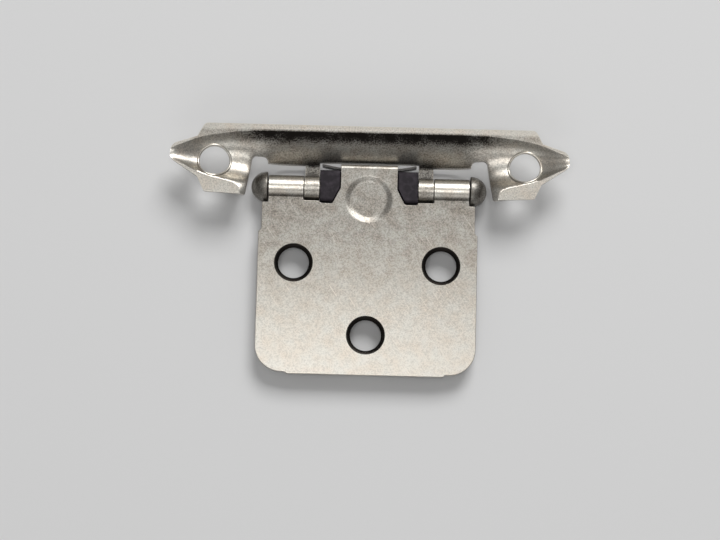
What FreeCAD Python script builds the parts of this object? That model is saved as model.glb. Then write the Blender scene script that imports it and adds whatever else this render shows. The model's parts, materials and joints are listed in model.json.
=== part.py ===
"""Self-closing overlay cabinet hinge: a frame wing, a door leaf, two headed pins, a nylon cam and its spring.

Everything is drawn about the pin axis: X runs along the pins, Y from the leaf up to the wing, and Z out of
the hinge's back, the side that faces the cabinet frame. The finished pieces are then moved together, so that
the origin is under the middle of the hinge as it lies on its front.
"""
import FreeCAD, Part
import math
import os
import Sketcher
from FreeCAD import Rotation, Vector

SIZES = {
    # Pins and barrel
    "pin_diameter": 2.4,
    "pin_running_clearance": 0.05,
    "pin_press_clearance": 0.02,
    "pin_head_diameter": 5.3,
    "pin_head_band": 0.25,
    "pin_inner_end": 6.1,
    "barrel_end_gap": 0.15,
    "roll_seam": 0.15,
    # Barrel lengths, from the middle outwards
    "cam_half_length": 8.6,
    "knuckle_length": 2.55,
    "sleeve_length": 6.2,
    # Door leaf
    "leaf_thickness": 1.0,
    "leaf_back_height": 1.1,
    "leaf_width": 38.4,
    "leaf_upper_width": 37.4,
    "leaf_step_drop": 7.6,
    "leaf_shoulder_drop": 2.4,
    "leaf_drop": 33.0,
    "leaf_corner_radius": 4.6,
    "leaf_lip_length": 27.0,
    "leaf_lip": 0.35,
    "leaf_lip_slope": 0.5,
    "neck_width": 10.0,
    "neck_root_width": 12.8,
    "neck_rise": 4.3,
    "neck_top_round": 0.8,
    "notch_drop": 2.8,
    "notch_round": 0.3,
    "leaf_hole_diameter": 5.4,
    "leaf_sink_diameter": 6.8,
    "leaf_sink_depth": 0.5,
    "leaf_hole_spacing": 25.8,
    "leaf_hole_drop": 13.5,
    "leaf_low_hole_drop": 26.0,
    "dimple_diameter": 8.9,
    "dimple_floor_diameter": 5.8,
    "dimple_depth": 0.45,
    "dimple_drop": 1.9,
    # Frame wing
    "wing_thickness": 0.9,
    "wing_length": 70.0,
    "wing_top_rise": 10.3,
    "wing_top_length": 57.8,
    "wing_top_round": 1.0,
    "wing_shoulder_spread": 60.4,
    "wing_shoulder_rise": 7.9,
    "wing_tip_top": 6.4,
    "wing_tip_bottom": 4.0,
    "wing_tip_round": 1.5,
    "wing_tab_outer_spread": 60.0,
    "wing_tab_top": 0.7,
    "wing_tab_drop": 2.2,
    "wing_tab_slope": 0.3,
    "wing_tab_taper": 1.2,
    "wing_tab_inner_spread": 43.4,
    "wing_tab_round": 0.5,
    "wing_slot_outer_spread": 41.2,
    "wing_slot_inner_spread": 35.8,
    "wing_slot_top": 5.25,
    "wing_slot_round": 1.2,
    "wing_bar_bottom": 4.3,
    "wing_middle_bottom": 4.75,
    "strap_lap": 0.4,
    "wing_rim_height": 4.6,
    "wing_rim_width": 0.9,
    "wing_rim_trim": 0.45,
    "wing_dish_depth": 2.6,
    "wing_hole_diameter": 5.4,
    "wing_sink_diameter": 6.6,
    "wing_sink_depth": 0.45,
    "wing_hole_spacing": 54.4,
    "wing_hole_rise": 3.9,
    # Nylon cam
    "cam_clearance": 0.12,
    "cam_flat_rise": 3.05,
    "cam_flat_drop": 1.9,
    "cam_front_radius": 2.3,
    "cam_ear_cover": 0.45,
    "cam_ear_drop": 2.5,
    "cam_round": 0.5,
    # Closing spring
    "spring_thickness": 0.4,
    "spring_clearance": 0.05,
    "spring_end_gap": 0.3,
    "spring_bow": 0.95,
    "spring_low": 1.85,
    "spring_high": 0.25,
}

doc = FreeCAD.newDocument("cabinet_hinge")
sheet = doc.addObject("Spreadsheet::Sheet", "sizes")
for row, (alias, value) in enumerate(SIZES.items(), start=1):
    sheet.set(f"A{row}", alias)
    sheet.set(f"B{row}", str(value))
    sheet.setAlias(f"B{row}", alias)
doc.recompute()


def size(alias):
    """A driving dimension, read back from the sheet in millimetres."""
    return float(sheet.get(alias))


# Places that several pieces share, worked out from the sheet
PIN_RADIUS = "(sizes.pin_diameter / 2)"
PRESS_RADIUS = f"({PIN_RADIUS} + sizes.pin_press_clearance)"
RUNNING_RADIUS = f"({PIN_RADIUS} + sizes.pin_running_clearance)"
BARREL_RADIUS = f"({RUNNING_RADIUS} + sizes.wing_thickness)"
KNUCKLE_START = "(sizes.cam_half_length + sizes.barrel_end_gap)"
KNUCKLE_END = f"({KNUCKLE_START} + sizes.knuckle_length)"
SLEEVE_START = f"({KNUCKLE_END} + sizes.barrel_end_gap)"
SLEEVE_END = f"({SLEEVE_START} + sizes.sleeve_length)"
HEAD_START = f"({SLEEVE_END} + sizes.barrel_end_gap)"
HEAD_RADIUS = "(sizes.pin_head_diameter / 2)"
LEAF_BACK = "sizes.leaf_back_height"
LEAF_FRONT = "(sizes.leaf_back_height - sizes.leaf_thickness)"
LEAF_BOTTOM = "(-sizes.leaf_drop)"
SLOT_WIDTH = "(sizes.wing_slot_outer_spread / 2 - sizes.wing_slot_inner_spread / 2)"
SLOT_HEIGHT = "(sizes.wing_slot_top - sizes.wing_bar_bottom)"
SLOT_ROUND = f"min(sizes.wing_slot_round; 0.44 * {SLOT_WIDTH}; 0.9 * {SLOT_HEIGHT})"
ALONG_X = Rotation(Vector(0, 1, 0), 90)
ALONG_MINUS_X = Rotation(Vector(0, 1, 0), -90)
# How far an edge may lean, or stand from a corner, and still count as the corner's own
EDGE_LEAN = 1e-6
CORNER_REACH = 1e-4


def bind(feature, **expressions):
    """Tie a feature's properties to the sheet; a double underscore stands for the dot of a sub-property."""
    for path, expression in expressions.items():
        feature.setExpression(path.replace("__", "."), expression)
    return feature


def x_cylinder(name, radius, start, length):
    """Round bar along X, from start towards +X."""
    bar = doc.addObject("Part::Cylinder", name)
    bar.Placement.Rotation = ALONG_X
    return bind(bar, Radius=radius, Height=length, Placement__Base__x=start)


def z_cylinder(name, radius, x, y, low, high):
    """Round bar along Z between two heights."""
    bar = doc.addObject("Part::Cylinder", name)
    return bind(bar, Radius=radius, Height=f"{high} - ({low})", Placement__Base__x=x,
                Placement__Base__y=y, Placement__Base__z=low)


def z_cone(name, low_radius, high_radius, x, y, low, high):
    """Round taper along Z between two heights."""
    taper = doc.addObject("Part::Cone", name)
    return bind(taper, Radius1=low_radius, Radius2=high_radius, Height=f"{high} - ({low})",
                Placement__Base__x=x, Placement__Base__y=y, Placement__Base__z=low)


def block(name, x, y, z):
    """Box between (low, high) expressions along each axis."""
    box = doc.addObject("Part::Box", name)
    for length, axis, (low, high) in zip(("Length", "Width", "Height"), "xyz", (x, y, z)):
        box.setExpression(length, f"{high} - ({low})")
        box.setExpression(f"Placement.Base.{axis}", low)
    return box


def fuse(name, *pieces):
    """One solid from several that meet."""
    joined = doc.addObject("Part::MultiFuse", name)
    joined.Shapes = list(pieces)
    joined.Refine = True
    return joined


def cut(name, base, *tools):
    """Base less every tool."""
    tool = tools[0] if len(tools) == 1 else fuse(f"{name}_tools", *tools)
    result = doc.addObject("Part::Cut", name)
    result.Base = base
    result.Tool = tool
    return result


def mirrored(half):
    """Close a right-hand outline, listed from the top downwards, with its left-hand copy."""
    return half + [(f"-({x})", y, radius) for x, y, radius in reversed(half)]


def round_corners(body, pad, sketch, direction, corners):
    """Fillet the pad's edges that run in direction from the numbered corners, one feature for each radius."""
    tip = pad
    for radius in sorted({corner[2] for corner in corners if corner[2]}):
        doc.recompute()
        edges = []
        places = [sketch.Placement.multVec(sketch.Geometry[i].StartPoint)
                  for i, corner in enumerate(corners) if corner[2] == radius]
        for number, edge in enumerate(tip.Shape.Edges, start=1):
            if len(edge.Vertexes) != 2:
                continue
            start, end = (vertex.Point for vertex in edge.Vertexes)
            if (end - start).cross(direction).Length > EDGE_LEAN:
                continue
            if any((start - place).cross(direction).Length < CORNER_REACH for place in places):
                edges.append(f"Edge{number}")
        fillet = body.newObject("PartDesign::Fillet", f"{body.Name}_round")
        fillet.Base = (tip, edges)
        fillet.setExpression("Radius", radius)
        tip = fillet
    body.Tip = tip


def prism(name, role, corners, base, depth):
    """Body padded from a closed outline whose corners, as (across, up, round), all follow the sheet.

    The first outline is only a regular polygon: its corners are then tied to the sheet one by one.
    """
    body = doc.addObject("PartDesign::Body", name)
    plane = next(f for f in body.Origin.OriginFeatures if f.Role == role)
    sketch = body.newObject("Sketcher::SketchObject", f"{name}_outline")
    sketch.AttachmentSupport = [(plane, "")]
    sketch.MapMode = "FlatFace"
    sketch.setExpression("AttachmentOffset.Base.z", base)
    count = len(corners)
    start_radius = size("wing_length")
    angles = [2 * math.pi * i / count for i in range(count)]
    ring = [Vector(start_radius * math.cos(angle), -start_radius * math.sin(angle)) for angle in angles]
    for i in range(count):
        sketch.addGeometry(Part.LineSegment(ring[i], ring[(i + 1) % count]))
    for i in range(count):
        sketch.addConstraint(Sketcher.Constraint("Coincident", i, 2, (i + 1) % count, 1))
    for i, (across, up, _) in enumerate(corners):
        for kind, place, expression in (("DistanceX", ring[i].x, across), ("DistanceY", ring[i].y, up)):
            number = sketch.addConstraint(Sketcher.Constraint(kind, -1, 1, i, 1, place))
            sketch.setExpression(f"Constraints[{number}]", expression)
    pad = body.newObject("PartDesign::Pad", f"{name}_pad")
    pad.Profile = sketch
    pad.setExpression("Length", depth)
    doc.recompute()
    direction = sketch.Placement.Rotation.multVec(Vector(0, 0, 1))
    round_corners(body, pad, sketch, direction, corners)
    return body


def barrel_sides(make):
    """Make a piece on each side of the middle: make(side name, sign)."""
    return [make("left", "-"), make("right", "")]


def side_start(sign, inner, outer):
    """Where a length between two distances from the middle begins, going towards +X."""
    return inner if sign == "" else f"-{outer}"


def make_door_leaf():
    """Flat leaf with a notched neck, a pressed dimple, sunk screw holes and a rolled sleeve on each side."""
    shoulder = "-sizes.leaf_shoulder_drop"
    bottom = f"{LEAF_BOTTOM} + sizes.leaf_lip"
    lip_end = "(sizes.leaf_lip_length / 2)"
    step = "(sizes.leaf_width - sizes.leaf_upper_width) / 2"
    half = [
        ("sizes.neck_width / 2", "sizes.neck_rise", None),
        ("sizes.neck_width / 2", "0", None),
        ("sizes.neck_root_width / 2", "-sizes.notch_drop", "sizes.notch_round"),
        ("sizes.cam_half_length", "-sizes.notch_drop", "sizes.notch_round"),
        ("sizes.cam_half_length", shoulder, None),
        (SLEEVE_START, shoulder, None),
        (SLEEVE_START, f"-{BARREL_RADIUS} * 0.7", None),
        (SLEEVE_END, f"-{BARREL_RADIUS} * 0.7", None),
        (SLEEVE_END, f"-{HEAD_RADIUS} - sizes.barrel_end_gap", None),
        ("sizes.leaf_upper_width / 2", f"-{HEAD_RADIUS} - sizes.barrel_end_gap", None),
        ("sizes.leaf_upper_width / 2", "-sizes.leaf_step_drop", None),
        ("sizes.leaf_width / 2", f"-sizes.leaf_step_drop - {step}", None),
        ("sizes.leaf_width / 2", bottom, "sizes.leaf_corner_radius"),
        (f"{lip_end} + sizes.leaf_lip_slope", bottom, None),
        (lip_end, LEAF_BOTTOM, None),
    ]
    plate = prism("leaf_plate", "XY_Plane", mirrored(half), LEAF_FRONT, "sizes.leaf_thickness")
    bulge = z_cone("leaf_bulge", "sizes.dimple_floor_diameter / 2", "sizes.dimple_diameter / 2", "0",
                   "-sizes.dimple_drop", f"{LEAF_FRONT} - sizes.dimple_depth", LEAF_FRONT)
    sleeves = barrel_sides(lambda side, sign: x_cylinder(
        f"{side}_sleeve", BARREL_RADIUS, side_start(sign, SLEEVE_START, SLEEVE_END), "sizes.sleeve_length"))
    blank = fuse("leaf_blank", plate, bulge, *sleeves)

    tools = [z_cone("leaf_dish", "sizes.dimple_floor_diameter / 2", "sizes.dimple_diameter / 2", "0",
                    "-sizes.dimple_drop", f"({LEAF_BACK} - sizes.dimple_depth)", LEAF_BACK)]
    for side, sign in (("left", "-"), ("right", "")):
        start = side_start(sign, SLEEVE_START, SLEEVE_END)
        tools.append(x_cylinder(f"{side}_sleeve_bore", PRESS_RADIUS, start, "sizes.sleeve_length"))
        tools.append(block(f"{side}_sleeve_seam", (start, f"{start} + sizes.sleeve_length"),
                           (f"-{BARREL_RADIUS} * 1.2", f"-{PIN_RADIUS} * 0.5"),
                           (f"{LEAF_FRONT} - sizes.roll_seam", LEAF_FRONT)))
    edge = "sizes.neck_top_round"
    corner = block("neck_corner", ("-sizes.neck_width", "sizes.neck_width"),
                   (f"sizes.neck_rise - {edge}", "sizes.neck_rise"), (f"{LEAF_BACK} - {edge}", LEAF_BACK))
    roller = x_cylinder("neck_roller", edge, "-sizes.neck_width", "2 * sizes.neck_width")
    bind(roller, Placement__Base__y=f"sizes.neck_rise - {edge}", Placement__Base__z=f"{LEAF_BACK} - {edge}")
    tools.append(cut("neck_round_off", corner, roller))
    across = "sizes.leaf_hole_spacing / 2"
    holes = (("left", f"-{across}", "-sizes.leaf_hole_drop"), ("right", across, "-sizes.leaf_hole_drop"),
             ("low", "0", "-sizes.leaf_low_hole_drop"))
    hole_radius = "sizes.leaf_hole_diameter / 2"
    sink_radius = "sizes.leaf_sink_diameter / 2"
    sink_floor = f"({LEAF_BACK} - sizes.leaf_sink_depth)"
    for side, x, y in holes:
        tools.append(z_cylinder(f"{side}_leaf_hole", hole_radius, x, y, LEAF_FRONT, LEAF_BACK))
        tools.append(z_cone(f"{side}_leaf_sink", hole_radius, sink_radius, x, y, sink_floor, LEAF_BACK))
    return cut("door_leaf", blank, *tools)


def smooth(value, low, high):
    """Ease from 0 at low to 1 at high."""
    share = min(1.0, max(0.0, (value - low) / (high - low)))
    return share * share * (3 - 2 * share)


class WingForm:
    """The pressed form of the wing: a bar that falls to the pins in the middle, and a dish at each tip."""

    bar_start_share = 0.5
    end_share = 0.98
    tip_power = 1.7
    wall_power = 2.6
    bend_share = 0.45

    def __init__(self):
        self.rim = size("wing_rim_height") + size("wing_rim_trim")
        self.depth = size("wing_dish_depth") + size("wing_rim_trim")
        self.thickness = size("wing_thickness")
        self.tip = size("wing_length") / 2
        self.tip_rise = (size("wing_tip_top") + size("wing_tip_bottom")) / 2 - size("wing_rim_width") / 2
        self.top_lip = size("wing_top_rise") - size("wing_rim_width")
        self.low_lip = -size("wing_tab_drop") + 2 * size("wing_rim_width")
        self.strap = -(size("pin_diameter") / 2 + size("pin_running_clearance"))
        self.bar_foot = size("wing_bar_bottom") - size("strap_lap")
        self.slot_out = size("wing_slot_outer_spread") / 2
        self.slot_in = size("wing_slot_inner_spread") / 2

    def lips(self, x):
        """Upper and lower edge of the dish at x."""
        reach = abs(x)
        start = self.bar_start_share * self.tip
        share = min(self.end_share, max(0.0, (reach - start) / (self.tip - start)))
        upper = self.tip_rise + (self.top_lip - self.tip_rise) * math.sqrt(1 - share ** 2)
        share = min(self.end_share, max(0.0, (reach - self.slot_out) / (self.tip - self.slot_out)))
        fall = (1 - share ** self.tip_power) ** (1 / self.tip_power)
        return upper, self.tip_rise - (self.tip_rise - self.low_lip) * fall

    def dish_depth(self, x):
        """Depth of the dish below the rim at x."""
        start = self.bar_start_share * self.tip
        share = min(self.end_share, max(0.0, (abs(x) - start) / (self.tip - start)))
        return self.depth * (1 - share ** 4)

    def height(self, x, y):
        """Height of the wing's back surface."""
        upper, lower = self.lips(x)
        depth = self.dish_depth(x)
        middle = (upper + lower) / 2
        offset = (y - middle) / ((upper - lower) / 2)
        dish = self.rim - depth * max(0.0, 1 - abs(offset) ** self.wall_power)
        if y >= middle:
            bar = dish
        else:
            bar = self.rim - depth
        bend = middle + self.bend_share * (upper - middle)
        bar -= (self.rim - depth - self.strap) * max(0.0, (bend - y) / (bend - self.bar_foot))
        share = smooth(abs(x), self.slot_in - 2 * self.thickness, self.slot_out)
        return bar * (1 - share) + dish * share

    def front(self, x, y):
        """Height of the front surface, one sheet thickness below the back square to its slope."""
        step = self.thickness / 2
        slope_x = (self.height(x + step, y) - self.height(x - step, y)) / (2 * step)
        slope_y = (self.height(x, y + step) - self.height(x, y - step)) / (2 * step)
        slope = min(2.0, math.hypot(slope_x, slope_y))
        return self.height(x, y) - self.thickness * math.hypot(1, slope)


def net_surface(net):
    """Smooth face drawn towards a net of points, which it meets along the net's border."""
    degree = 3

    def knots(count):
        inner = count - degree
        return [float(i) for i in range(inner + 1)], [degree + 1] + [1] * (inner - 1) + [degree + 1]

    rows, row_counts = knots(len(net))
    columns, column_counts = knots(len(net[0]))
    surface = Part.BSplineSurface()
    surface.buildFromPolesMultsKnots(
        net, row_counts, column_counts, rows, columns, False, False, degree, degree)
    return surface.toShape()


def make_wing_sheet():
    """Pressed sheet, wider all round than the wing, whose net follows the edges of the dish."""
    form = WingForm()
    shares = (0.2, 0.38, 0.48, 0.56, 0.66, 0.78, 0.88, 0.96, 1.05)
    outwards = [form.tip * share for share in shares]
    stations = [-place for place in reversed(outwards)] + [0.0] + outwards
    back_offsets = (1.0, 0.8, 0.5, 0.2, -0.1, -0.4, -0.75, -1.0)
    front_offsets = (1.0, 0.5, 0.0, -0.5, -1.0)
    far_up = size("wing_top_rise") + form.thickness
    far_down = -size("wing_tab_drop") - 2 * form.thickness

    def column(x, offsets):
        upper, lower = form.lips(x)
        middle, reach = (upper + lower) / 2, (upper - lower) / 2
        above = [far_up, (far_up + upper) / 2]
        below = [(far_down + lower) / 2, far_down]
        return above + [middle + offset * reach for offset in offsets] + below

    def net(height, offsets):
        return [[Vector(x, y, height(x, y)) for y in column(x, offsets)] for x in stations]

    back = net_surface(net(form.height, back_offsets))
    front = net_surface(net(form.front, front_offsets))
    sides = [Part.makeRuledSurface(a, b) for a, b in zip(back.Edges, front.Edges)]
    shell = Part.makeShell([back, front] + sides)
    shell.sewShape()
    solid = Part.makeSolid(shell)
    if solid.Volume < 0:
        solid.reverse()
    feature = doc.addObject("Part::Feature", "wing_sheet")
    feature.Shape = solid
    return feature


def make_frame_wing():
    """Pressed wing with pointed tips, a screw hole near each, and two straps rolled round the pins."""
    tip = "sizes.wing_length / 2"
    tip_lean = "(sizes.wing_tip_top - sizes.wing_tip_bottom) / 8"
    half = [
        ("sizes.wing_top_length / 2", "sizes.wing_top_rise", "sizes.wing_top_round"),
        ("sizes.wing_shoulder_spread / 2", "sizes.wing_shoulder_rise", None),
        (f"{tip} - {tip_lean}", "sizes.wing_tip_top", "sizes.wing_tip_round"),
        (tip, "sizes.wing_tip_bottom", "sizes.wing_tip_round"),
        ("sizes.wing_tab_outer_spread / 2", "sizes.wing_tab_top", "sizes.wing_tab_round"),
        ("sizes.wing_tab_outer_spread / 2 - sizes.wing_tab_taper",
         "-sizes.wing_tab_drop + sizes.wing_tab_slope", "sizes.wing_tab_round"),
        ("sizes.wing_tab_inner_spread / 2", "-sizes.wing_tab_drop", "sizes.wing_tab_round"),
        ("sizes.wing_slot_outer_spread / 2", "sizes.wing_slot_top", SLOT_ROUND),
        ("sizes.wing_slot_inner_spread / 2", "sizes.wing_slot_top", SLOT_ROUND),
        ("sizes.wing_slot_inner_spread / 2", "sizes.wing_bar_bottom", None),
        (KNUCKLE_START, "sizes.wing_bar_bottom", None),
        (KNUCKLE_START, "sizes.wing_middle_bottom", None),
    ]
    low = f"(-{BARREL_RADIUS} - sizes.wing_thickness)"
    outline = prism("wing_outline", "XY_Plane", mirrored(half), low, f"sizes.wing_rim_height - {low}")
    pressed = doc.addObject("Part::Common", "wing_pressed")
    pressed.Base = make_wing_sheet()
    pressed.Tool = outline
    rolls = barrel_sides(lambda side, sign: x_cylinder(
        f"{side}_knuckle", BARREL_RADIUS, side_start(sign, KNUCKLE_START, KNUCKLE_END),
        "sizes.knuckle_length"))
    straps = barrel_sides(lambda side, sign: block(
        f"{side}_strap",
        (side_start(sign, KNUCKLE_START, KNUCKLE_END), side_start(sign, KNUCKLE_END, KNUCKLE_START)),
        ("0", "sizes.wing_bar_bottom + sizes.strap_lap / 2"), (f"-{BARREL_RADIUS}", f"-{RUNNING_RADIUS}")))
    blank = fuse("wing_blank", pressed, *straps, *rolls)

    tools = []
    hole_radius = "sizes.wing_hole_diameter / 2"
    sink_radius = "sizes.wing_sink_diameter / 2"
    floor = "(sizes.wing_rim_height - sizes.wing_dish_depth)"
    seat = WingForm().front(size("wing_hole_spacing") / 2, size("wing_hole_rise"))
    for side, sign in (("left", "-"), ("right", "")):
        start = side_start(sign, KNUCKLE_START, KNUCKLE_END)
        tools.append(x_cylinder(f"{side}_knuckle_bore", RUNNING_RADIUS, start, "sizes.knuckle_length"))
        tools.append(block(f"{side}_knuckle_seam", (start, f"{start} + sizes.knuckle_length"),
                           (f"{PIN_RADIUS} * 0.5", f"{BARREL_RADIUS} * 1.1"),
                           (f"-{RUNNING_RADIUS}", f"sizes.roll_seam - {RUNNING_RADIUS}")))
        x = f"{sign}sizes.wing_hole_spacing / 2"
        tools.append(z_cylinder(f"{side}_wing_hole", hole_radius, x, "sizes.wing_hole_rise",
                                f"({floor} - 3 * sizes.wing_thickness)", "sizes.wing_rim_height"))
        tools.append(z_cone(f"{side}_wing_sink", sink_radius, hole_radius, x, "sizes.wing_hole_rise",
                            f"{seat}", f"({seat} + sizes.wing_sink_depth)"))
        tools.append(z_cylinder(f"{side}_wing_sink_mouth", sink_radius, x, "sizes.wing_hole_rise",
                                f"({seat} - sizes.wing_thickness)", f"{seat}"))
    return cut("frame_wing", blank, *tools)


def make_pin(side, sign):
    """Headed pin: a plain shank with a short band and a round head at its outer end."""
    shank_end = f"({HEAD_START} + sizes.pin_head_band)"
    shank = x_cylinder(f"{side}_shank", PIN_RADIUS, side_start(sign, "sizes.pin_inner_end", shank_end),
                       f"{shank_end} - sizes.pin_inner_end")
    band = x_cylinder(f"{side}_band", HEAD_RADIUS, side_start(sign, HEAD_START, shank_end),
                      "sizes.pin_head_band")
    dome = doc.addObject("Part::Sphere", f"{side}_dome")
    dome.Angle1 = 0
    dome.Angle2 = 90
    dome.Placement.Rotation = ALONG_X if sign == "" else ALONG_MINUS_X
    bind(dome, Radius=HEAD_RADIUS, Placement__Base__x=f"{sign}{shank_end}")
    return fuse(f"{side}_pin", shank, band, dome)


def make_cam_block():
    """Nylon cam behind the neck, with an ear in each notch that the pin runs into."""
    top = f"{PIN_RADIUS} + sizes.cam_ear_cover"
    front = "-sizes.cam_front_radius"
    corners = [
        ("sizes.cam_flat_rise", top, "sizes.cam_round"),
        ("sizes.cam_flat_rise", "-sizes.cam_flat_drop", "sizes.cam_round"),
        ("sizes.cam_flat_rise / 2", front, "sizes.cam_round"),
        (f"{front} / 2", front, "sizes.cam_round"),
        (front, f"{front} / 2", "sizes.cam_round"),
        (front, LEAF_FRONT, None),
        ("-sizes.cam_ear_drop", LEAF_FRONT, None),
        ("-sizes.cam_ear_drop", top, "sizes.cam_round"),
    ]
    stock = prism("cam_stock", "YZ_Plane", corners, "-sizes.cam_half_length", "2 * sizes.cam_half_length")
    gap = "sizes.cam_clearance"
    reach = "sizes.neck_rise"
    spread = "(sizes.neck_root_width - sizes.neck_width) / 2 / sizes.notch_drop"
    neck = mirrored([
        (f"sizes.neck_width / 2 + {gap}", reach, None),
        (f"sizes.neck_width / 2 + {gap}", "0", None),
        (f"sizes.neck_width / 2 + {gap} + {spread} * {reach}", f"-{reach}", None),
    ])
    tools = [
        prism("cam_neck_room", "XY_Plane", neck, LEAF_FRONT, "2 * sizes.pin_diameter"),
        z_cone("cam_dimple_room", f"sizes.dimple_floor_diameter / 2 + {gap}",
               f"sizes.dimple_diameter / 2 + {gap}", "0", "-sizes.dimple_drop",
               f"({LEAF_FRONT} - sizes.dimple_depth - {gap})", LEAF_FRONT),
    ]
    for side, sign in (("left", "-"), ("right", "")):
        start = side_start(sign, "(sizes.pin_inner_end - sizes.cam_clearance)", "sizes.cam_half_length")
        tools.append(x_cylinder(f"{side}_cam_bore", PRESS_RADIUS, start,
                                "sizes.cam_half_length - sizes.pin_inner_end + sizes.cam_clearance"))
    return cut("cam_block", stock, *tools)


def make_closing_spring():
    """Bowed strip between the straps: its crown bears on the cam's flat and its ends on the wing's edge."""
    span = "(sizes.cam_half_length - sizes.spring_end_gap)"
    radius = f"(({span} ^ 2 + sizes.spring_bow ^ 2) / (2 * sizes.spring_bow))"
    crown = "(sizes.cam_flat_rise + sizes.spring_clearance)"
    centre = f"{crown} + {radius}"
    low, high = "(-sizes.spring_low)", "(-sizes.spring_high)"
    outer = z_cylinder("spring_outer", radius, "0", centre, low, high)
    inner = z_cylinder("spring_inner", f"{radius} - sizes.spring_thickness", "0", centre, low, high)
    ring = cut("spring_ring", outer, inner)
    strip = doc.addObject("Part::Common", "closing_spring")
    strip.Base = ring
    strip.Tool = block("spring_span", (f"-{span}", span), ("0", f"{crown} + {radius}"), (low, high))
    return strip


def main():
    """Build every piece, set them on the common origin, check them and write their files."""
    pieces = {
        "door_leaf": make_door_leaf(),
        "frame_wing": make_frame_wing(),
        "left_pin": make_pin("left", "-"),
        "right_pin": make_pin("right", ""),
        "cam_block": make_cam_block(),
        "closing_spring": make_closing_spring(),
    }
    for name, piece in pieces.items():
        piece.Label = name
        bind(piece, Placement__Base__y="(sizes.leaf_drop - sizes.wing_top_rise) / 2",
             Placement__Base__z=HEAD_RADIUS)
    doc.recompute()
    for feature in doc.Objects:
        if "Invalid" in feature.State or "Error" in feature.State:
            raise RuntimeError(f"{feature.Name} failed: {feature.State}")
    os.makedirs("parts", exist_ok=True)
    for name, piece in pieces.items():
        shape = piece.Shape
        if shape.isNull() or not shape.isValid() or len(shape.Solids) != 1:
            raise RuntimeError(f"{name} is not one valid solid: {len(shape.Solids)}")
        shape.exportStep(f"parts/{piece.Label}.step")
        print(name, len(shape.Solids), round(shape.Volume, 2), shape.BoundBox)


main()
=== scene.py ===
"""Self-closing cabinet hinge in aged nickel plate, dressed over its solid frame and set on a studio floor."""
import json
import math
import bmesh
import bpy
from mathutils import Matrix, Vector


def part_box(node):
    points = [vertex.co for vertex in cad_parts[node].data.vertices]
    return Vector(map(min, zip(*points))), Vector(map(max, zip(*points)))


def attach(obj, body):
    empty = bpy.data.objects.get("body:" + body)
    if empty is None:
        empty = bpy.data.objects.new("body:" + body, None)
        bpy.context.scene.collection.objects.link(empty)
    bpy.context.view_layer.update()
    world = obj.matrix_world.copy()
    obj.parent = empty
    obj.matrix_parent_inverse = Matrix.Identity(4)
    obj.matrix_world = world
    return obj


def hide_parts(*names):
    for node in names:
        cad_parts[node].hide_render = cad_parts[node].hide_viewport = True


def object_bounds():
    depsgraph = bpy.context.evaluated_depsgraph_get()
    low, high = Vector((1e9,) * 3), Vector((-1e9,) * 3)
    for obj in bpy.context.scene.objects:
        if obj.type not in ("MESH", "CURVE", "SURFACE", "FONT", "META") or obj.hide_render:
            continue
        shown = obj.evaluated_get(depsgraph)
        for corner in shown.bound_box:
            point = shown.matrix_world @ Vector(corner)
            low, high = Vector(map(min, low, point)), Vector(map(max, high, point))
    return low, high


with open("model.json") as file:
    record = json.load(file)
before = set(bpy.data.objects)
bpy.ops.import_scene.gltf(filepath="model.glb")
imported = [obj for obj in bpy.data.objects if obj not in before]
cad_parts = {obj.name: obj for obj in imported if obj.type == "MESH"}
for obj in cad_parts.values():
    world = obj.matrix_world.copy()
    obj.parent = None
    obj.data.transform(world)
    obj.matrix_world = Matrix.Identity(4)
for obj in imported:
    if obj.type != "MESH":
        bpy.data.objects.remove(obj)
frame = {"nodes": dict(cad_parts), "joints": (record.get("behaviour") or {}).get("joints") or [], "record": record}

bl_info = {
    "name": "Cabinet Hinge",
    "version": (1, 0, 0),
    "blender": (4, 5, 0),
    "location": "3D View > Sidebar > Hinge",
    "description": "Dresses a self-closing cabinet hinge in aged plate and dark nylon",
    "category": "Object",
}

MM = 0.001
CAD_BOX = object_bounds()
IMAGE_WIDTH = 720
IMAGE_HEIGHT = 540
MOUNTS = {mount["name"]: mount for mount in frame["record"]["mounts"]}
SWING = frame["joints"][0]
PIN_AXIS = Vector(SWING["pos_m"])
SUNK = "sunk"
# Faces that turn less than this are one plane, and corners nearer than these are one corner
FLAT_ANGLE = math.radians(0.05)
SEAM_REACH = 0.001 * MM
WELD_REACH = 0.0001 * MM
# Height of the grain on each surface
PLATE_RELIEF = 0.05 * MM
NYLON_RELIEF = 0.08 * MM
# Steps across a worn edge, round a screw hole and round the section of its rim
EDGE_STEPS = 2
RING_STEPS = 72
SECTION_STEPS = 12
# How far below its start a rim looks for the wing
RIM_DROP = 0.05


class HingeShape(bpy.types.PropertyGroup):
    """Small forms that finish the solid pieces."""

    edge_round: bpy.props.FloatProperty(
        name="Edge Round", description="Width of the worn edge on the sheet metal",
        default=0.12 * MM, min=0.0, unit="LENGTH")
    moulded_round: bpy.props.FloatProperty(
        name="Moulded Round", description="Width of the round on the nylon's edges",
        default=0.15 * MM, min=0.0, unit="LENGTH")
    sharp_angle: bpy.props.FloatProperty(
        name="Sharp Angle", description="Edges that turn more than this stay crisp",
        default=math.radians(38), subtype="ANGLE")
    sink_radius: bpy.props.FloatProperty(
        name="Sink Radius", description="Half the width of the leaf's sunk screw holes",
        default=3.43 * MM, min=0.0, unit="LENGTH")
    rim_reach: bpy.props.FloatProperty(
        name="Rim Reach", description="From the wing hole's wall to the middle of its rolled rim",
        default=0.12 * MM, min=0.0, unit="LENGTH")
    rim_radius: bpy.props.FloatProperty(
        name="Rim Radius", description="Half the height of the rolled rim",
        default=0.22 * MM, min=0.0, unit="LENGTH")


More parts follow.
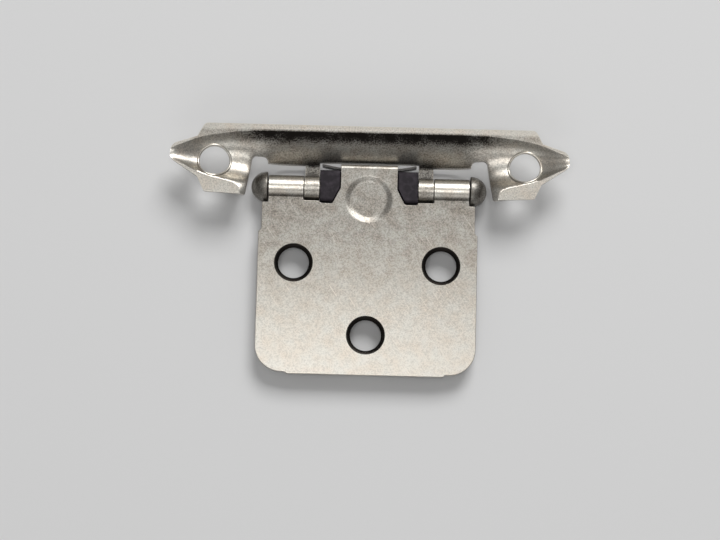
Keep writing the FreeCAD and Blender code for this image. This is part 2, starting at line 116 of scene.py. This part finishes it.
class HingeFinish(bpy.types.PropertyGroup):
    """Colours and wear of the plate and the nylon."""

    plate: bpy.props.FloatVectorProperty(
        name="Plate", description="Rubbed plate", subtype="COLOR", size=3, min=0.0, max=1.0,
        default=(0.66, 0.635, 0.575))
    warm_plate: bpy.props.FloatVectorProperty(
        name="Warm Plate", description="Plate where the copper below shows through", subtype="COLOR", size=3,
        min=0.0, max=1.0, default=(0.66, 0.60, 0.52))
    # Also the colour of the painted shade that the spreads lay on the wing and the leaf
    patina: bpy.props.FloatVectorProperty(
        name="Patina", description="Dark patina left in the grain and the hollows", subtype="COLOR", size=3,
        min=0.0, max=1.0, default=(0.022, 0.019, 0.017))
    nylon: bpy.props.FloatVectorProperty(
        name="Nylon", description="Dark moulded nylon", subtype="COLOR", size=3, min=0.0, max=1.0,
        default=(0.012, 0.008, 0.012))
    scuffed_nylon: bpy.props.FloatVectorProperty(
        name="Scuffed Nylon", description="Nylon where it is rubbed", subtype="COLOR", size=3,
        min=0.0, max=1.0, default=(0.034, 0.026, 0.034))
    spring: bpy.props.FloatVectorProperty(
        name="Spring", description="Blackened spring strip", subtype="COLOR", size=3, min=0.0, max=1.0,
        default=(0.12, 0.115, 0.11))
    grain: bpy.props.FloatProperty(
        name="Grain", description="Size of the mottled grain", default=0.26 * MM, min=0.01 * MM,
        unit="LENGTH")


class HingeStage(bpy.types.PropertyGroup):
    """Floor, light and camera."""

    floor: bpy.props.FloatVectorProperty(
        name="Floor", description="Pale floor", subtype="COLOR", size=3, min=0.0, max=1.0,
        default=(0.70, 0.70, 0.70))
    sky: bpy.props.FloatProperty(
        name="Sky", description="Level of the even light from all round", default=0.22, min=0.0)
    distance: bpy.props.FloatProperty(
        name="Distance", description="From the camera to the hinge", default=0.42, unit="LENGTH")
    tilt: bpy.props.FloatProperty(
        name="Tilt", description="How far the camera leans towards the leaf", default=math.radians(9),
        subtype="ANGLE")
    roll: bpy.props.FloatProperty(
        name="Roll", description="Turn of the hinge in the picture", default=math.radians(1.45),
        subtype="ANGLE")
    pixels_per_metre: bpy.props.FloatProperty(
        name="Pixels per Metre", description="Size of the hinge in the picture", default=5680.0)
    axis_pixel: bpy.props.FloatVectorProperty(
        name="Axis Pixel", description="Where the middle of the pin axis falls in the picture", size=2,
        default=(369.0, 189.5))


class Nodes:
    """Adds nodes to a tree from left to right and links them."""

    def __init__(self, tree):
        self.tree = tree

    def add(self, kind, inputs=None, **settings):
        """One node; an input's value is a constant or another node's output socket."""
        node = self.tree.nodes.new(kind)
        for name, value in settings.items():
            setattr(node, name, value)
        for key, value in (inputs or {}).items():
            socket = node.inputs[key]
            if isinstance(value, bpy.types.NodeSocket):
                self.tree.links.new(value, socket)
            else:
                socket.default_value = value
        return node

    def math(self, operation, a, b, clamp=False):
        """Output of one Math node, kept between 0 and 1 where clamp is set."""
        return self.add("ShaderNodeMath", {0: a, 1: b}, operation=operation, use_clamp=clamp).outputs[0]

    def dot(self, a, b):
        """Dot product of two vectors."""
        return self.add("ShaderNodeVectorMath", {0: a, 1: b}, operation="DOT_PRODUCT").outputs["Value"]

    def noise(self, place, scale, detail, roughness=0.5):
        """Output of one Noise Texture node."""
        inputs = {"Vector": place, "Scale": scale, "Detail": detail, "Roughness": roughness}
        return self.add("ShaderNodeTexNoise", inputs).outputs["Fac"]

    def ramp(self, value, start, end):
        """Share that goes from 0 at start to 1 at end."""
        inputs = {"Value": value, "From Min": start, "From Max": end}
        return self.add("ShaderNodeMapRange", inputs).outputs[0]

    def level(self, share, low, high):
        """Value that goes from low to high as the share goes from 0 to 1."""
        return self.add("ShaderNodeMapRange", {"Value": share, "To Min": low, "To Max": high}).outputs[0]

    def mix(self, share, first, second):
        """Colour that goes from the first to the second as the share grows."""
        node = self.add("ShaderNodeMix", {"Factor": share}, data_type="RGBA")
        sockets = {socket.identifier: socket for socket in (*node.inputs, *node.outputs)}
        self.tree.links.new(first, sockets["A_Color"])
        self.tree.links.new(second, sockets["B_Color"])
        return sockets["Result_Color"]


def colour(rgb):
    """Opaque colour from three numbers."""
    return (*rgb, 1.0)


def aged_plate_group():
    """Shared finish: plate rubbed bright on its faces, with dark patina in the grain and the hollows, and the
    painted shade and highlight that come in with its patina amount.
    """
    name = "aged_plate"
    if name in bpy.data.node_groups:
        return bpy.data.node_groups[name]
    tree = bpy.data.node_groups.new(name, "ShaderNodeTree")
    for label in ("Plate", "Warm Plate", "Patina"):
        tree.interface.new_socket(label, in_out="INPUT", socket_type="NodeSocketColor")
    for label in ("Grain Scale", "Patina and Shade Amount", "Mottle", "Scratch Amount", "Sunk"):
        tree.interface.new_socket(label, in_out="INPUT", socket_type="NodeSocketFloat")
    tree.interface.new_socket("Color", in_out="OUTPUT", socket_type="NodeSocketColor")
    for label in ("Roughness", "Height"):
        tree.interface.new_socket(label, in_out="OUTPUT", socket_type="NodeSocketFloat")
    nodes = Nodes(tree)
    given = nodes.add("NodeGroupInput").outputs
    place = nodes.add("ShaderNodeTexCoord").outputs["Object"]

    # Fine grain, and clouds about eight times as wide
    cloud_share = 0.12
    cloud_scale = nodes.math("MULTIPLY", given["Grain Scale"], cloud_share)
    grain = nodes.noise(place, scale=given["Grain Scale"], detail=4.0, roughness=0.75)
    speckle = nodes.ramp(grain, start=0.43, end=0.6)
    clouds = nodes.ramp(nodes.noise(place, scale=cloud_scale, detail=3.0), start=0.35, end=0.7)

    # Slanted scratches, which the clouds break up
    streak_share = 0.9
    streak_scale = nodes.math("MULTIPLY", given["Grain Scale"], streak_share)
    stretched = nodes.add("ShaderNodeMapping", {"Vector": place, "Rotation": (0.0, 0.0, 0.6),
                                                "Scale": (1.0, 30.0, 1.0)}, vector_type="TEXTURE").outputs[0]
    scratch = nodes.ramp(nodes.noise(stretched, scale=streak_scale, detail=2.0), start=0.63, end=0.7)
    scratch = nodes.math("MULTIPLY", scratch, nodes.math("MULTIPLY", clouds, given["Scratch Amount"]))

    # Hollows that keep their patina, and edges that are worn bright
    hollow_reach = 4.0 * MM
    wear_reach = 0.35 * MM
    openness = nodes.add("ShaderNodeAmbientOcclusion", {"Distance": hollow_reach}, only_local=True, samples=8)
    hollow = nodes.ramp(openness.outputs["AO"], start=0.92, end=0.5)
    edge = nodes.add("ShaderNodeBevel", {"Radius": wear_reach}, samples=6).outputs[0]
    normal = nodes.add("ShaderNodeNewGeometry").outputs["Normal"]
    worn = nodes.ramp(nodes.dot(edge, normal), start=0.985, end=0.86)

    # The patina with its painted shade and highlight in all, less what wear and scratches take away
    mean_speckle = 0.45
    hollow_share = 0.75
    worn_share = 0.35
    scratched_share = 0.3
    scratch_depth = 0.6
    dark = nodes.math("MULTIPLY", given["Patina and Shade Amount"], nodes.level(clouds, low=0.85, high=1.15))
    specks = nodes.math("SUBTRACT", speckle, mean_speckle)
    dark = nodes.math("ADD", dark, nodes.math("MULTIPLY", specks, given["Mottle"]))
    dark = nodes.math("ADD", dark, nodes.math("MULTIPLY", hollow, hollow_share))
    dark = nodes.math("ADD", dark, given["Sunk"])
    dark = nodes.math("SUBTRACT", dark, nodes.math("MULTIPLY", worn, worn_share))
    dark = nodes.math("SUBTRACT", dark, nodes.math("MULTIPLY", scratch, scratched_share), clamp=True)
    rubbed = nodes.mix(clouds, given["Plate"], given["Warm Plate"])
    shade = nodes.mix(dark, rubbed, given["Patina"])
    rough = nodes.level(dark, low=0.3, high=0.46)
    height = nodes.math("SUBTRACT", grain, nodes.math("MULTIPLY", scratch, scratch_depth))
    nodes.add("NodeGroupOutput", {"Color": shade, "Roughness": rough, "Height": height})
    return tree


def patina_and_light_spread(nodes, origin, direction, start, end, near, far):
    """Patina with painted shade and highlight, which goes from near to far with the distance from a plane, on
    either side of it.
    """
    place = nodes.add("ShaderNodeTexCoord").outputs["Object"]
    place = nodes.add("ShaderNodeVectorMath", {0: place, 1: origin}, operation="SUBTRACT").outputs["Vector"]
    along = nodes.add("ShaderNodeMath", {0: nodes.dot(place, direction)}, operation="ABSOLUTE").outputs[0]
    inputs = {"Value": along, "From Min": start, "From Max": end, "To Min": near, "To Max": far}
    return nodes.add("ShaderNodeMapRange", inputs, interpolation_type="SMOOTHSTEP").outputs[0]


def plate_material(name, settings, scratch_amount, mottle, patina_and_shade_amount, spreads=(), bare=None):
    """Aged plate, or bare metal of its own colour, with its share of scratches, mottling and patina, and the
    painted shade and highlight of its spreads.
    """
    material = bpy.data.materials.new(name)
    material.use_nodes = True
    nodes = Nodes(material.node_tree)
    shader = material.node_tree.nodes["Principled BSDF"]
    shader.inputs["Metallic"].default_value = 1.0
    # The spreads paint shade and highlight into the patina amount.
    for spread in spreads:
        patina_and_shade_amount = nodes.math("MULTIPLY", patina_and_light_spread(nodes, **spread), patina_and_shade_amount)
    sunk = nodes.add("ShaderNodeAttribute", attribute_name=SUNK).outputs["Fac"]
    finish = nodes.add("ShaderNodeGroup", {
        "Plate": colour(bare or settings.plate), "Warm Plate": colour(bare or settings.warm_plate),
        "Patina": colour(settings.patina), "Grain Scale": 1 / settings.grain, "Patina and Shade Amount": patina_and_shade_amount,
        "Mottle": mottle, "Scratch Amount": scratch_amount, "Sunk": sunk}, node_tree=aged_plate_group())
    bump = nodes.add("ShaderNodeBump", {"Height": finish.outputs["Height"], "Strength": 0.35,
                                        "Distance": PLATE_RELIEF})
    material.node_tree.links.new(finish.outputs["Color"], shader.inputs["Base Color"])
    material.node_tree.links.new(finish.outputs["Roughness"], shader.inputs["Roughness"])
    material.node_tree.links.new(bump.outputs["Normal"], shader.inputs["Normal"])
    return material


def plain_material(name, rgb, roughness):
    """Start of the nylon and the floor: one colour and roughness, to which each adds its own nodes."""
    material = bpy.data.materials.new(name)
    material.use_nodes = True
    shader = material.node_tree.nodes["Principled BSDF"]
    shader.inputs["Base Color"].default_value = colour(rgb)
    shader.inputs["Roughness"].default_value = roughness
    return material


def nylon_material(settings):
    """Dark nylon with a faint moulded grain and rubbed patches."""
    material = plain_material("dark_nylon", settings.nylon, roughness=0.6)
    nodes = Nodes(material.node_tree)
    place = nodes.add("ShaderNodeTexCoord").outputs["Object"]
    grain_share = 0.6
    patch_share = 0.25
    grain = nodes.noise(place, scale=grain_share / settings.grain, detail=3.0)
    patches = nodes.noise(place, scale=patch_share / settings.grain, detail=4.0)
    tints = nodes.add("ShaderNodeValToRGB", {"Fac": nodes.ramp(patches, start=0.45, end=0.7)})
    tints.color_ramp.elements[0].color = colour(settings.nylon)
    tints.color_ramp.elements[1].color = colour(settings.scuffed_nylon)
    rough = nodes.level(grain, low=0.5, high=0.7)
    bump = nodes.add("ShaderNodeBump", {"Height": grain, "Strength": 0.3, "Distance": NYLON_RELIEF})
    shader = material.node_tree.nodes["Principled BSDF"]
    shader.inputs["Specular IOR Level"].default_value = 0.3
    for socket, output in (("Base Color", tints.outputs["Color"]), ("Roughness", rough),
                           ("Normal", bump.outputs["Normal"])):
        material.node_tree.links.new(output, shader.inputs[socket])
    return material


def floor_material(settings):
    """Pale floor that can be looked through from below."""
    material = plain_material("pale_floor", settings.floor, roughness=0.8)
    nodes = Nodes(material.node_tree)
    shader = material.node_tree.nodes["Principled BSDF"]
    below = nodes.add("ShaderNodeNewGeometry").outputs["Backfacing"]
    clear = nodes.add("ShaderNodeBsdfTransparent").outputs[0]
    surface = nodes.add("ShaderNodeMixShader", {0: below, 1: shader.outputs[0], 2: clear}).outputs[0]
    material.node_tree.links.new(surface, material.node_tree.nodes["Material Output"].inputs["Surface"])
    return material


def bake_modifiers(context, piece):
    """Turn a piece's modifiers into its plain mesh."""
    evaluated = piece.evaluated_get(context.evaluated_depsgraph_get())
    mesh = bpy.data.meshes.new_from_object(evaluated)
    before = piece.data
    piece.modifiers.clear()
    piece.data = mesh
    bpy.data.meshes.remove(before)


def dressed_node(context, node, body, material, edge_round, sharp_angle):
    """Smooth copy of a solid node, with its edges rounded, in place of the node."""
    mesh = frame["nodes"][node].data.copy()
    surface = bmesh.new()
    surface.from_mesh(mesh)
    bmesh.ops.remove_doubles(surface, verts=surface.verts, dist=SEAM_REACH)
    bmesh.ops.dissolve_limit(surface, angle_limit=FLAT_ANGLE, verts=surface.verts, edges=surface.edges)
    surface.to_mesh(mesh)
    surface.free()
    mesh.materials.clear()
    mesh.materials.append(material)
    for face in mesh.polygons:
        face.use_smooth = True
    piece = bpy.data.objects.new(f"{node}_dressed", mesh)
    context.scene.collection.objects.link(piece)
    bevel = piece.modifiers.new("edge_round", "BEVEL")
    bevel.width = edge_round
    bevel.segments = EDGE_STEPS
    bevel.limit_method = "ANGLE"
    bevel.angle_limit = sharp_angle
    weld = piece.modifiers.new("joined_corners", "WELD")
    weld.merge_threshold = WELD_REACH
    even = piece.modifiers.new("even_normals", "WEIGHTED_NORMAL")
    even.mode = "FACE_AREA"
    bake_modifiers(context, piece)
    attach(piece, body)
    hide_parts(node)
    return piece


def mark_sunk(piece, holes, radius):
    """Mark the faces inside each hole, where the patina was never rubbed away."""
    mesh = piece.data
    marks = mesh.attributes.new(SUNK, "FLOAT", "FACE")
    for face, mark in zip(mesh.polygons, marks.data):
        corners = [mesh.vertices[index].co for index in face.vertices]
        inside = (max((corner - hole).xy.length for corner in corners) < radius for hole in holes)
        mark.value = float(any(inside))


class HINGE_OT_frame_wing(bpy.types.Operator):
    """Dress the pressed wing that is screwed to the cabinet's frame"""

    bl_idname = "hinge.frame_wing"
    bl_label = "Frame Wing"

    def execute(self, context):
        shape, finish = context.scene.hinge_shape, context.scene.hinge_finish
        top_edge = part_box("frame_wing")[1]
        # Painted shade over heavier patina along the middle bar, where the barrel and leaf keep the light off; out
        # on the tips the patina drops to less than half.
        bar_shade_spread = {"origin": PIN_AXIS, "direction": (1.0, 0.0, 0.0), "start": 16 * MM, "end": 26 * MM,
                      "near": 1.0, "far": 0.42}
        # Painted shade on the upper wall and painted light on the lower tips: patina grows with the height above
        # the pin axis.
        wall_shade_spread = {"origin": PIN_AXIS, "direction": (0.0, 1.0, 0.0), "start": 6.6 * MM, "end": 8.8 * MM,
                       "near": 0.55, "far": 1.5}
        # Painted highlight along the top rim: patina thins to a tenth within about a millimetre of the top edge.
        rim_highlight_spread = {"origin": top_edge, "direction": (0.0, 1.0, 0.0), "start": 0.7 * MM, "end": 1.3 * MM,
                       "near": 0.1, "far": 1.0}
        material = plate_material("wing_plate", finish, scratch_amount=0.5, mottle=0.4, patina_and_shade_amount=0.8,
                                  spreads=(bar_shade_spread, wall_shade_spread, rim_highlight_spread))
        dressed_node(context, "frame_wing", "wing", material, shape.edge_round,
                     shape.sharp_angle)
        return {"FINISHED"}


def hole_rim_tree():
    """A rolled rim round each screw hole, laid on the surface below it."""
    tree = bpy.data.node_groups.new("hole_rims", "GeometryNodeTree")
    tree.interface.new_socket("Geometry", in_out="INPUT", socket_type="NodeSocketGeometry")
    for label, kind in (("Wing", "NodeSocketObject"), ("First Hole", "NodeSocketVector"),
                        ("Next Hole", "NodeSocketVector"), ("Rim Reach", "NodeSocketFloat"),
                        ("Rim Radius", "NodeSocketFloat"), ("Finish", "NodeSocketMaterial")):
        tree.interface.new_socket(label, in_out="INPUT", socket_type=kind)
    tree.interface.new_socket("Geometry", in_out="OUTPUT", socket_type="NodeSocketGeometry")
    nodes = Nodes(tree)
    given = nodes.add("NodeGroupInput").outputs
    holes = nodes.add("GeometryNodeMeshLine", {"Count": 2, "Start Location": given["First Hole"],
                                               "Offset": given["Next Hole"]}).outputs[0]
    ring = nodes.add("GeometryNodeCurvePrimitiveCircle", {"Resolution": RING_STEPS,
                                                          "Radius": given["Rim Reach"]}).outputs[0]
    rings = nodes.add("GeometryNodeInstanceOnPoints", {"Points": holes, "Instance": ring}).outputs[0]
    rings = nodes.add("GeometryNodeRealizeInstances", {"Geometry": rings}).outputs[0]
    wing = nodes.add("GeometryNodeObjectInfo", {"Object": given["Wing"]}).outputs["Geometry"]
    above = nodes.add("GeometryNodeInputPosition").outputs[0]
    ray = nodes.add("GeometryNodeRaycast", {"Target Geometry": wing, "Source Position": above,
                                            "Ray Direction": (0.0, 0.0, -1.0), "Ray Length": RIM_DROP})
    laid = nodes.add("GeometryNodeSetPosition", {"Geometry": rings, "Selection": ray.outputs["Is Hit"],
                                                 "Position": ray.outputs["Hit Position"]}).outputs[0]
    section = nodes.add("GeometryNodeCurvePrimitiveCircle", {"Resolution": SECTION_STEPS,
                                                             "Radius": given["Rim Radius"]}).outputs[0]
    rims = nodes.add("GeometryNodeCurveToMesh", {"Curve": laid, "Profile Curve": section}).outputs[0]
    rims = nodes.add("GeometryNodeRealizeInstances", {"Geometry": rims}).outputs[0]
    rims = nodes.add("GeometryNodeSetMaterial", {"Geometry": rims, "Material": given["Finish"]}).outputs[0]
    nodes.add("NodeGroupOutput", {"Geometry": rims})
    return tree


class HINGE_OT_hole_rims(bpy.types.Operator):
    """Roll a rim round each of the wing's screw holes"""

    bl_idname = "hinge.hole_rims"
    bl_label = "Hole Rims"

    def execute(self, context):
        shape = context.scene.hinge_shape
        mount = MOUNTS["frame_screws"]
        centre = Vector(mount["pos_m"])
        spacing = mount["dims"]["spacing_x_mm"] * MM
        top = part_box("frame_wing")[1][2]
        wing = bpy.data.objects["frame_wing_dressed"]
        values = {
            "Wing": wing,
            "First Hole": (-spacing / 2, centre.y, top),
            "Next Hole": (spacing, 0.0, 0.0),
            "Rim Reach": mount["dims"]["hole_r_mm"] * MM + shape.rim_reach,
            "Rim Radius": shape.rim_radius,
            "Finish": plate_material("rim_plate", context.scene.hinge_finish, scratch_amount=0.3, mottle=0.15,
                                     patina_and_shade_amount=0.1),
        }
        piece = bpy.data.objects.new("hole_rims", bpy.data.meshes.new("hole_rims"))
        context.scene.collection.objects.link(piece)
        modifier = piece.modifiers.new("hole_rims", "NODES")
        modifier.node_group = hole_rim_tree()
        for item in modifier.node_group.interface.items_tree:
            if item.in_out == "INPUT" and item.name in values:
                modifier[item.identifier] = values[item.name]
        bake_modifiers(context, piece)
        if not piece.data.polygons:
            raise RuntimeError("the hole rims are empty")
        for face in piece.data.polygons:
            face.use_smooth = True
        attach(piece, "wing")
        return {"FINISHED"}


class HINGE_OT_door_leaf(bpy.types.Operator):
    """Dress the flat leaf that is screwed to the door"""

    bl_idname = "hinge.door_leaf"
    bl_label = "Door Leaf"

    def execute(self, context):
        shape, finish = context.scene.hinge_shape, context.scene.hinge_finish
        # Painted shade near the barrel that gives way to painted light towards the leaf's bottom: patina falls off
        # away from the pin axis.
        leaf_light_spread = {"origin": PIN_AXIS, "direction": (0.0, 1.0, 0.0), "start": 3 * MM, "end": 30 * MM,
                       "near": 1.0, "far": 0.12}
        # Painted highlight on the sleeves' crests: patina thins where they stand furthest out from the pin axis.
        crest_highlight_spread = {"origin": PIN_AXIS, "direction": (0.0, 0.0, 1.0), "start": 1.2 * MM, "end": 2.45 * MM,
                        "near": 1.0, "far": 0.1}
        material = plate_material("leaf_plate", finish, scratch_amount=1.0, mottle=0.28, patina_and_shade_amount=0.54,
                                  spreads=(leaf_light_spread, crest_highlight_spread))
        piece = dressed_node(context, "door_leaf", "leaf", material, shape.edge_round,
                             shape.sharp_angle)
        pair, low = MOUNTS["leaf_screws"], MOUNTS["leaf_low_screw"]
        apart = Vector((pair["dims"]["spacing_x_mm"] * MM / 2, 0.0, 0.0))
        holes = (Vector(pair["pos_m"]) - apart, Vector(pair["pos_m"]) + apart, Vector(low["pos_m"]))
        mark_sunk(piece, holes, shape.sink_radius)
        return {"FINISHED"}


class HINGE_OT_pins(bpy.types.Operator):
    """Dress the two headed pins"""

    bl_idname = "hinge.pins"
    bl_label = "Pins"

    def execute(self, context):
        shape, finish = context.scene.hinge_shape, context.scene.hinge_finish
        material = plate_material("pin_plate", finish, scratch_amount=0.3, mottle=0.2, patina_and_shade_amount=0.74)
        for node in ("left_pin", "right_pin"):
            dressed_node(context, node, "leaf", material, shape.edge_round, shape.sharp_angle)
        return {"FINISHED"}


class HINGE_OT_cam(bpy.types.Operator):
    """Dress the nylon cam behind the neck"""

    bl_idname = "hinge.cam"
    bl_label = "Cam"

    def execute(self, context):
        shape, finish = context.scene.hinge_shape, context.scene.hinge_finish
        material = nylon_material(finish)
        dressed_node(context, "cam_block", "leaf", material, shape.moulded_round, shape.sharp_angle)
        return {"FINISHED"}


class HINGE_OT_closing_spring(bpy.types.Operator):
    """Dress the bowed strip that closes the hinge"""

    bl_idname = "hinge.closing_spring"
    bl_label = "Closing Spring"

    def execute(self, context):
        shape, finish = context.scene.hinge_shape, context.scene.hinge_finish
        material = plate_material("spring_strip", finish, scratch_amount=0.6, mottle=0.3, patina_and_shade_amount=0.3,
                                  bare=tuple(finish.spring))
        dressed_node(context, "closing_spring", "wing", material, shape.edge_round / 2,
                     shape.sharp_angle)
        return {"FINISHED"}


class HINGE_OT_stage(bpy.types.Operator):
    """Set the floor, the soft light and the camera"""

    bl_idname = "hinge.stage"
    bl_label = "Stage"

    floor_reach = 3.0
    sensor_width = 36.0

    def execute(self, context):
        settings = context.scene.hinge_stage
        self.make_floor(context, settings)
        self.make_light(context, settings)
        self.make_camera(context, settings)
        context.scene.view_settings.view_transform = "Standard"
        return {"FINISHED"}

    def make_floor(self, context, settings):
        """Pale floor under the hinge's lowest point."""
        reach = self.floor_reach
        mesh = bpy.data.meshes.new("floor")
        level = CAD_BOX[0][2]
        mesh.from_pydata([(-reach, -reach, level), (reach, -reach, level), (reach, reach, level),
                          (-reach, reach, level)], [], [(0, 1, 2, 3)])
        mesh.materials.append(floor_material(settings))
        floor = bpy.data.objects.new("floor", mesh)
        context.scene.collection.objects.link(floor)

    def make_light(self, context, settings):
        """Even sky with a broad key light beyond the wing, one above and a low one on the leaf's side."""
        world = bpy.data.worlds.new("studio")
        world.use_nodes = True
        background = world.node_tree.nodes["Background"]
        background.inputs["Color"].default_value = (1.0, 1.0, 1.0, 1.0)
        background.inputs["Strength"].default_value = settings.sky
        context.scene.world = world
        lamps = (
            ("key_light", (0.2, 0.70, 0.76), 0.5, 7.5),
            ("top_light", (-0.06, -0.12, 0.97), 0.35, 1.6),
            ("low_light", (-0.05, -0.80, 0.62), 0.5, 0.9),
        )
        for name, place, width, power in lamps:
            lamp = bpy.data.lights.new(name, "AREA")
            lamp.size = width
            lamp.energy = power
            light = bpy.data.objects.new(name, lamp)
            light.location = place
            light.rotation_euler = (-Vector(place)).to_track_quat("-Z", "Y").to_euler()
            context.scene.collection.objects.link(light)

    def make_camera(self, context, settings):
        """Camera over the hinge's back that puts the pin axis where the picture has it."""
        data = bpy.data.cameras.new("camera")
        data.sensor_width = self.sensor_width
        data.lens = self.sensor_width * settings.distance * settings.pixels_per_metre / IMAGE_WIDTH
        camera = bpy.data.objects.new("camera", data)
        turn = Matrix.Rotation(settings.tilt, 3, "X") @ Matrix.Rotation(settings.roll, 3, "Z")
        across = (settings.axis_pixel[0] - IMAGE_WIDTH / 2) / settings.pixels_per_metre
        up = (IMAGE_HEIGHT / 2 - settings.axis_pixel[1]) / settings.pixels_per_metre
        camera.matrix_world = Matrix.Translation(
            PIN_AXIS + turn @ Vector((-across, -up, settings.distance))) @ turn.to_4x4()
        context.scene.collection.objects.link(camera)
        context.scene.camera = camera


class HINGE_PT_panel(bpy.types.Panel):
    """Lists the hinge's pieces and settings"""

    bl_idname = "HINGE_PT_panel"
    bl_label = "Cabinet Hinge"
    bl_space_type = "VIEW_3D"
    bl_region_type = "UI"
    bl_category = "Hinge"

    def draw(self, context):
        for operator in OPERATORS:
            self.layout.operator(operator.bl_idname)
        for settings in (context.scene.hinge_shape, context.scene.hinge_finish, context.scene.hinge_stage):
            for name in settings.__annotations__:
                self.layout.prop(settings, name)


GROUPS = {"hinge_shape": HingeShape, "hinge_finish": HingeFinish, "hinge_stage": HingeStage}
OPERATORS = (HINGE_OT_frame_wing, HINGE_OT_hole_rims, HINGE_OT_door_leaf, HINGE_OT_pins, HINGE_OT_cam,
             HINGE_OT_closing_spring, HINGE_OT_stage)


def register():
    """Add the settings, operators and panel."""
    for group in GROUPS.values():
        bpy.utils.register_class(group)
    for operator in OPERATORS:
        bpy.utils.register_class(operator)
    bpy.utils.register_class(HINGE_PT_panel)
    for name, group in GROUPS.items():
        setattr(bpy.types.Scene, name, bpy.props.PointerProperty(type=group))


def unregister():
    """Take the settings, operators and panel away."""
    for name in GROUPS:
        delattr(bpy.types.Scene, name)
    for kind in (HINGE_PT_panel, *reversed(OPERATORS), *GROUPS.values()):
        bpy.utils.unregister_class(kind)


def main():
    """Build every piece."""
    register()
    for operator in OPERATORS:
        group, name = operator.bl_idname.split(".")
        getattr(getattr(bpy.ops, group), name)()


if __name__ == "__main__":
    main()
